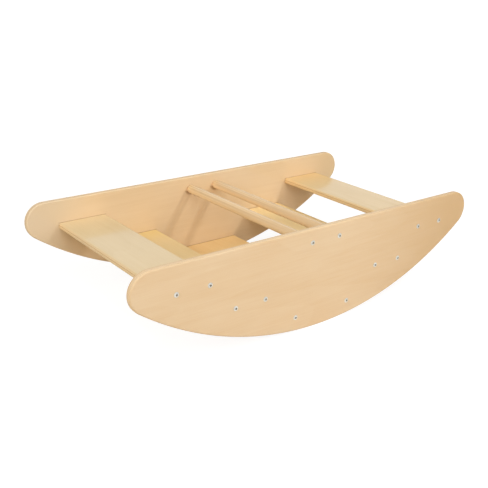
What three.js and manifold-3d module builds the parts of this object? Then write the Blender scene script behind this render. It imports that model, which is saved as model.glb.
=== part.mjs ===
// A child's rocking boat in birch plywood. Turned over, it stands on its straight top edges as steps.
// Two side panels with a long rocking arc carry two seats, two foot boards and a floor board between them.
// Two round handles lie close together across the middle. Bolts through the sides hold every crosspiece:
// in a board each bolt pulls on a barrel nut, in a handle on a threaded insert.
//
// Millimetres. +X runs along the boat, +Y across it from the front side to the back, +Z up.
// The origin is on the floor, under the middle of the boat.

import * as THREE from 'three';
import { mergeVertices } from 'three/addons/utils/BufferGeometryUtils.js';
import Module from 'manifold-3d';

const wasm = await Module();
wasm.setup();

// Overall sizes
const length = 1195;
const width = 600;
const height = 290;

// Side panels
const panelThickness = 18;
const tipRadius = 56;
const panelEdgeRadius = 4;

// Boards
const boardThickness = 18;
const boardEdgeRadius = 6;
const seatDepth = 150;
const footBoardDepth = 150;
const floorBoardDepth = 270;
const seatToTip = 95.5;
const seatBelowTop = 77;
const floorBoardAboveFloor = 45;
// A foot board lies this share of the way out to the seat from the middle of the boat, and this share
// of the way up to it from the floor board.
const footBoardOutShare = 0.59;
const footBoardUpShare = 0.5;

// Handles
const handleDiameter = 28;
const handleSpacing = 98;
const handleBelowTop = 38.5;
const handleEndRadius = 4;

// Distance between the two bolts in one end of a board
const seatBoltPitch = 96;
const footBoardBoltPitch = 96;
const floorBoardBoltPitch = 192;

// Connector bolts
const boltDiameter = 6;
const boltBoreClearance = 0.5;
const boltHeadDiameter = 14;
const boltHeadRim = 0.8;
const boltHeadDome = 2;
const boltSocketAcrossFlats = 4;
const boltSocketDepth = 2.2;
const boltPastNut = 2;
const boltTipChamfer = 0.8;
const boreBeyondBolt = 3;

// Barrel nuts
const nutDiameter = 10;
const nutToBoardEnd = 25;
const nutBelowFace = 2;
const nutBoreClearance = 0.5;
const nutSlotWidth = 1.6;
const nutSlotDepth = 1.4;
const threadClearance = 0.4;

// Threaded inserts
const insertDiameter = 10;
const insertLength = 18;
const insertCollarDiameter = 13;
const insertCollarThickness = 1.5;
const insertClearance = 0.3;

// How far a cutter reaches past the surface that it opens
const cutOverrun = 1;

// Facets
const rockingArcFacets = 36;
const tipUpperFacets = 7;
const tipLowerFacets = 5;
const edgeFacets = 3;
const handleSides = 20;
const fastenerSides = 12;
const boreSides = 10;
const domeFacets = 2;
const hexagonSides = 6;

// What follows from the sizes
const halfLength = length / 2;
const insideWidth = width - 2 * panelThickness;
const seatMiddle = halfLength - seatToTip - seatDepth / 2;
const seatHeight = height - seatBelowTop;
const footBoardMiddle = seatMiddle * footBoardOutShare;
const footBoardHeight = THREE.MathUtils.lerp(floorBoardAboveFloor, seatHeight, footBoardUpShare);
const handleHeight = height - handleBelowTop;
const boltBoreRadius = boltDiameter / 2 + boltBoreClearance;
const boardBoltGrip = nutToBoardEnd + nutDiameter / 2 + boltPastNut;
const handleBoltGrip = insertLength + boltPastNut;

// Each end looks outwards along its own direction of X.
const ends = [
  { name: 'left', outward: -1 },
  { name: 'right', outward: 1 },
];
// Each side looks outwards along its own direction of Y, and what it carries is turned to match.
const sides = [
  { name: 'front', outward: -1, turn: 0 },
  { name: 'back', outward: 1, turn: Math.PI },
];

// The boards. The bolts of each lie at these distances along X from its middle, the same in both its ends.
const outerAndInner = (outward, pitch) => ({ outer: outward * pitch / 2, inner: -outward * pitch / 2 });
const boards = [
  {
    name: 'floor_board',
    x: 0,
    z: floorBoardAboveFloor,
    depth: floorBoardDepth,
    bolts: { left: -floorBoardBoltPitch / 2, right: floorBoardBoltPitch / 2 },
  },
  ...ends.flatMap(({ name, outward }) => [
    {
      name: `foot_board_${name}`,
      x: outward * footBoardMiddle,
      z: footBoardHeight,
      depth: footBoardDepth,
      bolts: outerAndInner(outward, footBoardBoltPitch),
    },
    {
      name: `seat_${name}`,
      x: outward * seatMiddle,
      z: seatHeight,
      depth: seatDepth,
      bolts: outerAndInner(outward, seatBoltPitch),
    },
  ]),
];
const handles = ends.map(({ name, outward }) => (
  { name: `handle_${name}`, x: outward * handleSpacing / 2, z: handleHeight }
));

const panelPlywood = new THREE.MeshStandardMaterial({ color: 0xeacb9e, roughness: 0.42, metalness: 0 });
const boardPlywood = new THREE.MeshStandardMaterial({ color: 0xe6c592, roughness: 0.42, metalness: 0 });
const handleWood = new THREE.MeshStandardMaterial({ color: 0xe6c9a0, roughness: 0.45, metalness: 0 });
const zincPlate = new THREE.MeshStandardMaterial({ color: 0xc9cac8, roughness: 0.32, metalness: 1 });
const bareSteel = new THREE.MeshStandardMaterial({ color: 0xa9aaa8, roughness: 0.45, metalness: 1 });

// Points along an arc, both ends among them.
function arcPoints(centreX, centreY, radius, startAngle, endAngle, facets) {
  return Array.from({ length: facets + 1 }, (_, i) => {
    const angle = THREE.MathUtils.lerp(startAngle, endAngle, i / facets);
    return new THREE.Vector2(centreX + radius * Math.cos(angle), centreY + radius * Math.sin(angle));
  });
}

// A solid that can be cut, from a geometry whose surface is closed.
function solidFrom(geometry) {
  const bare = geometry.clone();
  bare.deleteAttribute('normal');
  bare.deleteAttribute('uv');
  const merged = mergeVertices(bare);
  return new wasm.Manifold(new wasm.Mesh({
    numProp: 3,
    vertProperties: new Float32Array(merged.attributes.position.array),
    triVerts: new Uint32Array(merged.index.array),
  }));
}

// A geometry with flat faces, from a solid that has been cut.
function geometryFrom(solid) {
  const mesh = solid.getMesh();
  const indexed = new THREE.BufferGeometry();
  indexed.setAttribute('position', new THREE.BufferAttribute(mesh.vertProperties, mesh.numProp));
  indexed.setIndex(new THREE.BufferAttribute(mesh.triVerts, 1));
  const geometry = indexed.toNonIndexed();
  geometry.computeVertexNormals();
  return geometry;
}

function subtractAll(solid, cutters) {
  return cutters.reduce((rest, cutter) => rest.subtract(cutter), solid);
}

// A cutter along Y from y = start to y = end, at x and z.
function boreAlongY(radius, x, start, end, z) {
  const bore = new THREE.CylinderGeometry(radius, radius, Math.abs(end - start), boreSides);
  return solidFrom(bore.translate(x, (start + end) / 2, z));
}

// A cutter along Z from z = start to z = end, at x and y.
function boreAlongZ(radius, x, y, start, end) {
  const bore = new THREE.CylinderGeometry(radius, radius, Math.abs(end - start), boreSides);
  return solidFrom(bore.rotateX(Math.PI / 2).translate(x, y, (start + end) / 2));
}

// A profile drawn in X and Z, drawn out along Y on both sides of y = 0.
function extrudeAlongY(points, thickness, bevel) {
  const depth = thickness - 2 * bevel.bevelThickness;
  const geometry = new THREE.ExtrudeGeometry(new THREE.Shape(points), { ...bevel, depth, steps: 1 });
  return geometry.translate(0, 0, -depth / 2).rotateX(Math.PI / 2);
}

// The outline of a side: a straight top edge, a round tip at each end and one long arc underneath.
// The arc touches the floor at the middle and runs into both tips without a corner, which gives its radius.
function sideOutline() {
  const tipX = halfLength - tipRadius;
  const tipZ = height - tipRadius;
  const rockingRadius = (tipX ** 2 + tipZ ** 2 - tipRadius ** 2) / (2 * (tipZ - tipRadius));
  const swing = Math.atan2(tipX, rockingRadius - tipZ);
  const down = -Math.PI / 2;
  const rightHalf = [
    ...arcPoints(0, rockingRadius, rockingRadius, down, down + swing, rockingArcFacets / 2),
    ...arcPoints(tipX, tipZ, tipRadius, down + swing, 0, tipLowerFacets).slice(1),
    ...arcPoints(tipX, tipZ, tipRadius, 0, -down, tipUpperFacets).slice(1),
  ];
  const leftHalf = rightHalf.slice(1).reverse().map(({ x, y }) => new THREE.Vector2(-x, y));
  return [...rightHalf, ...leftHalf];
}

// Where bolts pass through a side.
function boltPlaces() {
  const inBoards = boards.flatMap(({ x, z, bolts }) => (
    Object.values(bolts).map((along) => ({ x: x + along, z }))
  ));
  return [...inBoards, ...handles];
}

function sidePanelGeometry() {
  const roundOver = {
    bevelEnabled: true,
    bevelSegments: edgeFacets,
    bevelSize: panelEdgeRadius,
    bevelThickness: panelEdgeRadius,
    bevelOffset: -panelEdgeRadius,
  };
  const blank = solidFrom(extrudeAlongY(sideOutline(), panelThickness, roundOver));
  const reach = panelThickness / 2 + cutOverrun;
  const bores = boltPlaces().map(({ x, z }) => boreAlongY(boltBoreRadius, x, -reach, reach, z));
  return geometryFrom(subtractAll(blank, bores));
}

// A board's section: a rectangle whose four long edges are rounded.
function boardSection(depth) {
  const cornerX = depth / 2 - boardEdgeRadius;
  const cornerZ = boardThickness / 2 - boardEdgeRadius;
  const quarter = Math.PI / 2;
  const corners = [[cornerX, cornerZ], [-cornerX, cornerZ], [-cornerX, -cornerZ], [cornerX, -cornerZ]];
  return corners.flatMap(([x, z], i) => (
    arcPoints(x, z, boardEdgeRadius, i * quarter, (i + 1) * quarter, edgeFacets)
  ));
}

// Each bolt enters at an end of the board, and its barrel nut lies in a blind bore from the underside.
function boardGeometry({ depth, bolts }) {
  const square = { bevelEnabled: false, bevelThickness: 0 };
  const blank = solidFrom(extrudeAlongY(boardSection(depth), insideWidth, square));
  const boltBoreDepth = boardBoltGrip + boreBeyondBolt;
  const nutBoreTop = boardThickness / 2 - nutBelowFace + nutBoreClearance;
  const cutters = sides.flatMap(({ outward }) => Object.values(bolts).flatMap((x) => {
    const end = outward * insideWidth / 2;
    return [
      boreAlongY(boltBoreRadius, x, end + outward * cutOverrun, end - outward * boltBoreDepth, 0),
      boreAlongZ(
        nutDiameter / 2 + nutBoreClearance,
        x,
        end - outward * nutToBoardEnd,
        -boardThickness / 2 - cutOverrun,
        nutBoreTop,
      ),
    ];
  }));
  return geometryFrom(subtractAll(blank, cutters));
}

// The stepped outline of an insert, or of the socket that takes it with a clearance all round.
// The collar starts at y = collarStart, and the body runs towards +Y.
function insertSection(clearance, collarStart) {
  const bodyRadius = insertDiameter / 2 + clearance;
  const collarRadius = insertCollarDiameter / 2 + clearance;
  const shoulder = insertCollarThickness + clearance;
  return [
    new THREE.Vector2(collarRadius, collarStart),
    new THREE.Vector2(collarRadius, shoulder),
    new THREE.Vector2(bodyRadius, shoulder),
    new THREE.Vector2(bodyRadius, insertLength + clearance),
  ];
}

// A round bar with softly rounded ends, bored at each end for a threaded insert and the tip of its bolt.
function handleGeometry() {
  const half = insideWidth / 2;
  const radius = handleDiameter / 2;
  const inset = radius - handleEndRadius;
  const quarter = Math.PI / 2;
  const bar = solidFrom(new THREE.LatheGeometry([
    new THREE.Vector2(0, -half),
    ...arcPoints(inset, -half + handleEndRadius, handleEndRadius, -quarter, 0, edgeFacets),
    ...arcPoints(inset, half - handleEndRadius, handleEndRadius, 0, quarter, edgeFacets),
    new THREE.Vector2(0, half),
  ], handleSides));
  const socket = new THREE.LatheGeometry([
    new THREE.Vector2(0, -cutOverrun),
    ...insertSection(insertClearance, -cutOverrun),
    new THREE.Vector2(0, insertLength + insertClearance),
  ], fastenerSides);
  const cutters = sides.flatMap(({ outward, turn }) => {
    const end = outward * half;
    const boreEnd = end - outward * (handleBoltGrip + boreBeyondBolt);
    return [
      solidFrom(socket.clone().rotateZ(turn).translate(0, end, 0)),
      boreAlongY(boltBoreRadius, 0, end + outward * cutOverrun, boreEnd, 0),
    ];
  });
  return geometryFrom(subtractAll(bar, cutters));
}

// A low domed head with a hexagon socket, on a plain shank.
// The head's flat underside is at y = 0, and the shank runs towards +Y.
function boltGeometry(shankLength) {
  const headRadius = boltHeadDiameter / 2;
  const shankRadius = boltDiameter / 2;
  const crown = -boltHeadRim - boltHeadDome;
  const domeRadius = (headRadius ** 2 + boltHeadDome ** 2) / (2 * boltHeadDome);
  const domeHalfAngle = Math.asin(headRadius / domeRadius);
  const down = -Math.PI / 2;
  const dome = arcPoints(0, crown + domeRadius, domeRadius, down, down + domeHalfAngle, domeFacets);
  const turned = solidFrom(new THREE.LatheGeometry([
    new THREE.Vector2(0, crown),
    ...dome.slice(1),
    new THREE.Vector2(headRadius, 0),
    new THREE.Vector2(shankRadius, 0),
    new THREE.Vector2(shankRadius, shankLength - boltTipChamfer),
    new THREE.Vector2(shankRadius - boltTipChamfer, shankLength),
    new THREE.Vector2(0, shankLength),
  ], fastenerSides));
  const socketRadius = boltSocketAcrossFlats / 2 / Math.cos(Math.PI / hexagonSides);
  const socketCut = boltSocketDepth + cutOverrun;
  const socket = new THREE.CylinderGeometry(socketRadius, socketRadius, socketCut, hexagonSides)
    .translate(0, crown + boltSocketDepth - socketCut / 2, 0);
  return geometryFrom(turned.subtract(solidFrom(socket)));
}

// A short round bar along Z with a cross bore for the bolt, and a slot in its lower end to turn it by.
function barrelNutGeometry() {
  const nutLength = boardThickness - 2 * nutBelowFace;
  const radius = nutDiameter / 2;
  const bar = new THREE.CylinderGeometry(radius, radius, nutLength, fastenerSides).rotateX(Math.PI / 2);
  const reach = radius + cutOverrun;
  const crossBore = boreAlongY(boltDiameter / 2 + threadClearance, 0, -reach, reach, 0);
  const slotCut = nutSlotDepth + cutOverrun;
  const slot = new THREE.BoxGeometry(nutSlotWidth, 2 * reach, slotCut)
    .translate(0, 0, -nutLength / 2 + nutSlotDepth - slotCut / 2);
  return geometryFrom(subtractAll(solidFrom(bar), [crossBore, solidFrom(slot)]));
}

// A collared sleeve whose bore takes the bolt.
function insertGeometry() {
  const boreRadius = boltDiameter / 2 + threadClearance;
  return new THREE.LatheGeometry([
    new THREE.Vector2(boreRadius, 0),
    ...insertSection(0, 0),
    new THREE.Vector2(boreRadius, insertLength),
    new THREE.Vector2(boreRadius, 0),
  ], fastenerSides);
}

function namedMesh(name, geometry, material, x, y, z) {
  const mesh = new THREE.Mesh(geometry, material);
  mesh.name = name;
  mesh.position.set(x, y, z);
  return mesh;
}

// A side panel, and the bolts, barrel nuts and inserts along it.
function sideGroup(side, shared) {
  const group = new THREE.Group();
  const outerFace = side.outward * width / 2;
  const innerFace = side.outward * insideWidth / 2;
  const panelMiddle = (outerFace + innerFace) / 2;
  group.add(namedMesh(`side_panel_${side.name}`, shared.panel, panelPlywood, 0, panelMiddle, 0));
  const addTurned = (mesh) => {
    mesh.rotation.z = side.turn;
    group.add(mesh);
  };
  for (const board of boards) {
    for (const [place, along] of Object.entries(board.bolts)) {
      const label = `${side.name}_${board.name}_${place}`;
      const x = board.x + along;
      const nutY = innerFace - side.outward * nutToBoardEnd;
      addTurned(namedMesh(`bolt_${label}`, shared.boardBolt, zincPlate, x, outerFace, board.z));
      addTurned(namedMesh(`barrel_nut_${label}`, shared.barrelNut, bareSteel, x, nutY, board.z));
    }
  }
  for (const { name, x, z } of handles) {
    const label = `${side.name}_${name}`;
    addTurned(namedMesh(`bolt_${label}`, shared.handleBolt, zincPlate, x, outerFace, z));
    addTurned(namedMesh(`insert_${label}`, shared.insert, bareSteel, x, innerFace, z));
  }
  return group;
}

function rockingBoat() {
  const shared = {
    panel: sidePanelGeometry(),
    boardBolt: boltGeometry(panelThickness + boardBoltGrip),
    handleBolt: boltGeometry(panelThickness + handleBoltGrip),
    barrelNut: barrelNutGeometry(),
    insert: insertGeometry(),
  };
  const boat = new THREE.Group();
  boat.name = 'rocking_boat';
  boat.add(...sides.map((side) => sideGroup(side, shared)));
  boat.add(...boards.map((board) => (
    namedMesh(board.name, boardGeometry(board), boardPlywood, board.x, 0, board.z)
  )));
  const handle = handleGeometry();
  boat.add(...handles.map(({ name, x, z }) => namedMesh(name, handle, handleWood, x, 0, z)));
  return boat;
}

export default rockingBoat();
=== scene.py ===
# %% [markdown]
# # A rocking boat in birch plywood
#
# Two children sit face to face on the seats, hold the two round handles and rock the boat on its curved
# sides. The CAD model gives every size and every place. This lesson leaves it where it is and dresses it:
# each wooden piece is grown again with finer edges, gets a wood that is drawn by nodes, and carries fine
# hardware. Everything is in metres, and the front of the boat looks along -Y.

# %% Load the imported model
import math

import bmesh
import bpy
from mathutils import Matrix, Vector


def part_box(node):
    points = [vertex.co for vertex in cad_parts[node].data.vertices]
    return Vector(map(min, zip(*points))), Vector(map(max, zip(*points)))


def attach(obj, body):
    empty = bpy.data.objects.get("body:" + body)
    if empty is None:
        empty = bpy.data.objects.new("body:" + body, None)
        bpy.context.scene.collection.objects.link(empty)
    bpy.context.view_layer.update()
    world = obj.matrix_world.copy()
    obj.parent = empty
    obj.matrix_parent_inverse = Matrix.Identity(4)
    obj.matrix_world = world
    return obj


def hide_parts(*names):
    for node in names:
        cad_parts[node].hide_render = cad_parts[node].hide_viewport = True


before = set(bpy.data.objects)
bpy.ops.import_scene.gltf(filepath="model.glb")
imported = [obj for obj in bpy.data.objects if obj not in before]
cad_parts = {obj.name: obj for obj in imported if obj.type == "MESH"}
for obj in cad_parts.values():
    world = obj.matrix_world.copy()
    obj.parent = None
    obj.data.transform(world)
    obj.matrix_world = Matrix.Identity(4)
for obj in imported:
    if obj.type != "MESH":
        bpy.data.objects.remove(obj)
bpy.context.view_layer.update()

print("nodes in the frame:", len(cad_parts))

# %% [markdown]
# ## Small helpers for node trees
#
# A material and a Geometry Nodes tree are both node trees, so the same few helpers fill them. One call adds
# one node, feeds its inputs and hands back what comes out. Written like this, a tree reads as a short list
# of steps from top to bottom, which is easier to follow and to change than a screen full of boxes.

# %% Add nodes and feed them
MM = 0.001
SHADER, GEOMETRY = "ShaderNodeTree", "GeometryNodeTree"


def add_node(tree, kind, feeds=None, **settings):
    """Adds a node. feeds gives its inputs, by name or number, a value or what another node puts out."""
    node = tree.nodes.new(kind)
    for name, value in settings.items():
        setattr(node, name, value)
    for key, value in (feeds or {}).items():
        if isinstance(value, bpy.types.NodeSocket):
            tree.links.new(value, node.inputs[key])
        else:
            node.inputs[key].default_value = value
    return node


def calc(tree, operation, *values):
    return add_node(tree, "ShaderNodeMath", dict(enumerate(values)), operation=operation).outputs[0]


def times(tree, first, *others):
    """The product of two or more values."""
    for other in others:
        first = calc(tree, "MULTIPLY", first, other)
    return first


def squared(tree, value):
    return times(tree, value, value)


def split(tree, vector):
    return add_node(tree, "ShaderNodeSeparateXYZ", {0: vector}).outputs


def pack(tree, x, y, z):
    return add_node(tree, "ShaderNodeCombineXYZ", {0: x, 1: y, 2: z}).outputs[0]


def between(tree, value, low, high, to_low=0.0, to_high=1.0, way="SMOOTHSTEP"):
    """Maps a value from low..high to to_low..to_high, and holds it there outside."""
    feeds = {"Value": value, "From Min": low, "From Max": high, "To Min": to_low, "To Max": to_high}
    return add_node(tree, "ShaderNodeMapRange", feeds, interpolation_type=way).outputs[0]


def new_group(kind, name, inputs, outputs):
    """An empty group with named inputs and outputs: (tree, what comes in, where the results go)."""
    tree = bpy.data.node_groups.new(name, kind)
    for in_out, sockets in (("INPUT", inputs), ("OUTPUT", outputs)):
        for title, socket_type in sockets.items():
            tree.interface.new_socket(title, in_out=in_out, socket_type="NodeSocket" + socket_type)
    return tree, tree.nodes.new("NodeGroupInput").outputs, tree.nodes.new("NodeGroupOutput").inputs


def colour(red, green, blue):
    """A colour as it is read off a screen, from 0 to 255, turned into the linear values that nodes use."""
    linear = [((c / 255 + 0.055) / 1.055) ** 2.4 if c > 10 else c / 255 / 12.92 for c in (red, green, blue)]
    return (*linear, 1.0)


print("helpers ready")

# %% [markdown]
# ## Birch wood, one veneer or one bar at a time
#
# Birch is a quiet wood. Its face shows faint wandering lines where the knife crossed the growth rings, soft
# broad blotches, long fine fibres and tiny dark pore dashes. All of them are stretched along the grain, so
# one group works in the wood's own directions: along the fibres, across them, and through the thickness.
# The rings are the contour lines of a slow noise, which is exactly how rotary-cut veneer gets its figure.
# Looked at end on, the same three-dimensional fibres turn into the fine speckle of end grain without any
# extra work.

# %% The grain group
# Cycles in a metre, along the grain and across it
HILL_RATES = (1.1, 6.0)
BLOTCH_RATES = (5.0, 17.0)
STREAK_RATES = (3.2, 95.0)
FIBRE_RATES = (7.0, 420.0)
PORE_RATES = (170.0, 2300.0)

RING_LINES = 9.0           # contour lines between the lowest and the highest place of the hills
LATE_WOOD = (0.35, 0.95)   # a ring darkens from the first share of its width to the second, then ends
PORE_CUT = (0.63, 0.72)    # only the highest specks are pores
TONE_WEIGHTS = {"rings": 0.12, "blotches": 0.75, "streaks": 0.45, "fibres": 0.6, "pores": 0.35}
TONE_CENTRE = 0.45         # taken off, so that plain wood lies midway between its two colours


def noise(tree, place, detail, scale=1.0):
    feeds = {"Vector": place, "Scale": scale, "Detail": detail}
    return add_node(tree, "ShaderNodeTexNoise", feeds).outputs[0]


def stretched(tree, along, across, depth, rate_along, rate_across):
    return pack(tree, times(tree, along, rate_along), times(tree, across, rate_across),
                times(tree, depth, rate_across))


def grain_group():
    inputs = {"Along": "Float", "Across": "Float", "Depth": "Float"}
    outputs = {"Tone": "Float", "Fibres": "Float", "Pores": "Float"}
    tree, given, result = new_group(SHADER, "birch_grain", inputs, outputs)

    def pattern(rates, detail):
        return noise(tree, stretched(tree, *given[:3], *rates), detail)

    ring = calc(tree, "FRACT", times(tree, pattern(HILL_RATES, 1.0), RING_LINES))
    late_wood = between(tree, ring, *LATE_WOOD)
    early_again = between(tree, ring, LATE_WOOD[1], 1.0, 1.0, 0.0)
    patterns = {"rings": times(tree, late_wood, early_again),
                "blotches": pattern(BLOTCH_RATES, 2.0),
                "streaks": pattern(STREAK_RATES, 3.0),
                "fibres": pattern(FIBRE_RATES, 3.0),
                "pores": between(tree, pattern(PORE_RATES, 1.0), *PORE_CUT)}
    tone = 0.0
    for name, weight in TONE_WEIGHTS.items():
        tone = calc(tree, "MULTIPLY_ADD", patterns[name], weight, tone)
    tree.links.new(calc(tree, "SUBTRACT", tone, TONE_CENTRE), result["Tone"])
    tree.links.new(patterns["fibres"], result["Fibres"])
    tree.links.new(patterns["pores"], result["Pores"])
    return tree


GRAIN = grain_group()
print("grain group with", len(GRAIN.nodes), "nodes")

# %% [markdown]
# ## Wood under lacquer
#
# Every wooden piece is finished alike. The fibres lift the wood a little under a clear satin coat, and the
# coat itself is smooth, so the shine stays soft while the wood below keeps its texture. Cut edges drink up
# the lacquer, so there is less of a coat on them. Along some pieces the colour drifts slowly from one colour
# to another; some drifts are painted shade, painted light and painted reflections, as said where each is
# set.

# %% Helpers for every wood
ALONG_X, ALONG_Y, ALONG_Z = 0, 1, 2
SHEET_ROUGHNESS, BAR_ROUGHNESS = 0.40, 0.36
FIBRE_ROUGHNESS = 0.16                 # what a high fibre adds to it
FACE_FILM, CUT_FILM = 0.85, 0.25       # how much coat stays on a face and on a cut edge
LACQUER_IOR, LACQUER_ROUGHNESS = 1.5, 0.13
WOOD_SHINE = 0.1                       # the wood's own gloss under the coat
FIBRE_HEIGHT, FIBRE_STRENGTH = 0.03 * MM, 0.35
PORE_DEPTH = -0.6                      # where a fibre's height is 1


def mix_colour(tree, factor, first, second):
    return add_node(tree, "ShaderNodeMix", {0: factor, 6: first, 7: second}, data_type="RGBA").outputs[2]


def new_material(name):
    material = bpy.data.materials.new(name)
    material.use_nodes = True
    material.node_tree.nodes.clear()
    return material, material.node_tree


def place_and_facing(tree):
    """Where a point lies on its piece and which way the surface faces there, each split in three."""
    place = add_node(tree, "ShaderNodeTexCoord").outputs["Object"]
    facing = add_node(tree, "ShaderNodeNewGeometry").outputs["Normal"]
    return split(tree, place), split(tree, facing)


def grain(tree, along, across, depth):
    return add_node(tree, "ShaderNodeGroup", {0: along, 1: across, 2: depth}, node_tree=GRAIN).outputs


def drifted(tree, place, wood, *drifts):
    """Wood whose colour changes slowly along the piece. Each drift is (axis, from, to, colour, share)."""
    for axis, first, last, tint, share in drifts:
        wood = mix_colour(tree, between(tree, place[axis], first, last, 0.0, share), wood, tint)
    return wood


def lacquered(tree, shown, wood, roughness, cut):
    """Ends a material. cut is 1 on a cut edge, which drinks up the coat, and 0 on a face."""
    height = calc(tree, "MULTIPLY_ADD", wood["Pores"], PORE_DEPTH, wood["Fibres"])
    bump = add_node(tree, "ShaderNodeBump", {
        "Strength": FIBRE_STRENGTH, "Distance": FIBRE_HEIGHT, "Height": height})
    film = calc(tree, "MULTIPLY_ADD", cut, CUT_FILM - FACE_FILM, FACE_FILM)
    shader = add_node(tree, "ShaderNodeBsdfPrincipled", {
        "Base Color": shown, "Roughness": roughness, "Normal": bump.outputs[0], "IOR": LACQUER_IOR,
        "Specular IOR Level": WOOD_SHINE, "Coat Weight": film, "Coat Roughness": LACQUER_ROUGHNESS,
        "Coat IOR": LACQUER_IOR})
    add_node(tree, "ShaderNodeOutputMaterial", {"Surface": shader.outputs[0]})


print("wood helpers ready")

# %% [markdown]
# ## Plywood, ply by ply
#
# The sheet is 18 mm thick and glued from 13 veneers, and each veneer is turned a quarter against its
# neighbours. So the material asks how deep a point lies in the sheet, which gives the number of its ply,
# and then swaps "along" and "across" in every second ply. On the face only the first ply shows. On a
# rounded edge the plies come out by themselves as stripes: pale where the fibres run along the edge, brown
# where the edge cuts them off, with a thin glue line between. No two veneers come from one log, so each ply
# also gets its own tone. No stripe is painted by hand, so they are right on curves and on the underside
# too.
#
# Four more things go on top. Hands and knees polish the rounded rims, so they are a little paler and
# glossier there, in patches. Where a board meets a panel, the lacquer stops and dust gathers on what faces
# up, which is the thin dark line in every joint, and the line follows the distance from that joint. Under
# the end of each handle a soft dark spot is painted on the panel: painted shade, where the handle's shadow
# begins. Last, upright cut edges are painted paler than the faces, painted light, but each sheet has one
# veneer from nearer the heart of the log, which shows as one darker line along its rims.

# %% Values of the plywood
SHEET = 18 * MM
PLIES = 13
PLY = SHEET / PLIES
PLY_MARGIN = 0.01          # of a ply, by which both faces of the sheet stay inside its outer plies
LOG_STEP = 0.37            # how far apart in the wood two neighbouring plies are taken
GLUE_WIDTH = 0.07          # of a ply, on each side of a glue line
PLY_SPREAD = 0.15          # how far an ordinary ply goes towards the heart wood at most

# Colours, and how far a place goes towards each of them at most
# Upright cut edges are painted paler: painted light on the rims
PAINTED_EDGE_LIGHT, EDGE_LIGHT_SHARE = colour(252, 232, 198), 0.3
END_GRAIN, END_GRAIN_SHARE = colour(226, 181, 120), 0.25
HEART_WOOD, HEART_SHARE = colour(192, 144, 85), 0.6
GLUE_LINE, GLUE_SHARE = colour(150, 104, 62), 0.55
WORN_BIRCH, WORN_SHARE = colour(240, 208, 163), 0.2
# Dust in the joints, and painted shade in a spot under each handle's end
JOINT_DUST_AND_SHADE, DUST_AND_SHADE_SHARE = colour(150, 102, 54), 0.6

RUB_RATES = (9.0, 9.0)     # patches of wear in a metre
RUB_CUT = (0.35, 0.7)
JOINT_LINE = 1.5 * MM      # how far the dark line reaches from a joint
END_ROUGHNESS, WORN_ROUGHNESS, DUST_AND_SHADE_ROUGHNESS = 0.10, -0.08, 0.3      # added to the roughness
print(f"{PLIES} plies of {PLY / MM:.2f} mm")


# %% The plywood material
def either(tree, choice, first, second):
    """The first value where choice is 0, and the second where it is 1."""
    return add_node(tree, "ShaderNodeMix", {0: choice, 2: first, 3: second}).outputs[0]


def ply_stripes(tree, face, flat, edge, cut_ends, in_plies, heart_ply):
    """What a cut through the sheet shows: painted light on upright edges, pale and brown plies, the dark
    veneer and the glue lines.
    """
    # Painted light: upright edges are painted paler
    upright = squared(tree, calc(tree, "SUBTRACT", 1.0, flat))
    wood = mix_colour(tree, times(tree, upright, EDGE_LIGHT_SHARE), face, PAINTED_EDGE_LIGHT)
    wood = mix_colour(tree, times(tree, cut_ends, END_GRAIN_SHARE), wood, END_GRAIN)
    ply = calc(tree, "FLOOR", in_plies)
    log = add_node(tree, "ShaderNodeTexWhiteNoise", {"W": calc(tree, "ADD", ply, PLIES * heart_ply)},
                   noise_dimensions="1D").outputs["Value"]
    is_heart = calc(tree, "COMPARE", ply, float(heart_ply), 0.5)
    own_tone = calc(tree, "MAXIMUM", times(tree, squared(tree, log), PLY_SPREAD),
                    times(tree, is_heart, HEART_SHARE))
    wood = mix_colour(tree, times(tree, own_tone, edge), wood, HEART_WOOD)
    in_ply = calc(tree, "FRACT", in_plies)
    to_glue = calc(tree, "MINIMUM", in_ply, calc(tree, "SUBTRACT", 1.0, in_ply))
    glue = times(tree, between(tree, to_glue, 0.0, GLUE_WIDTH, 1.0, 0.0), edge)
    return mix_colour(tree, times(tree, glue, GLUE_SHARE), wood, GLUE_LINE)


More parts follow.
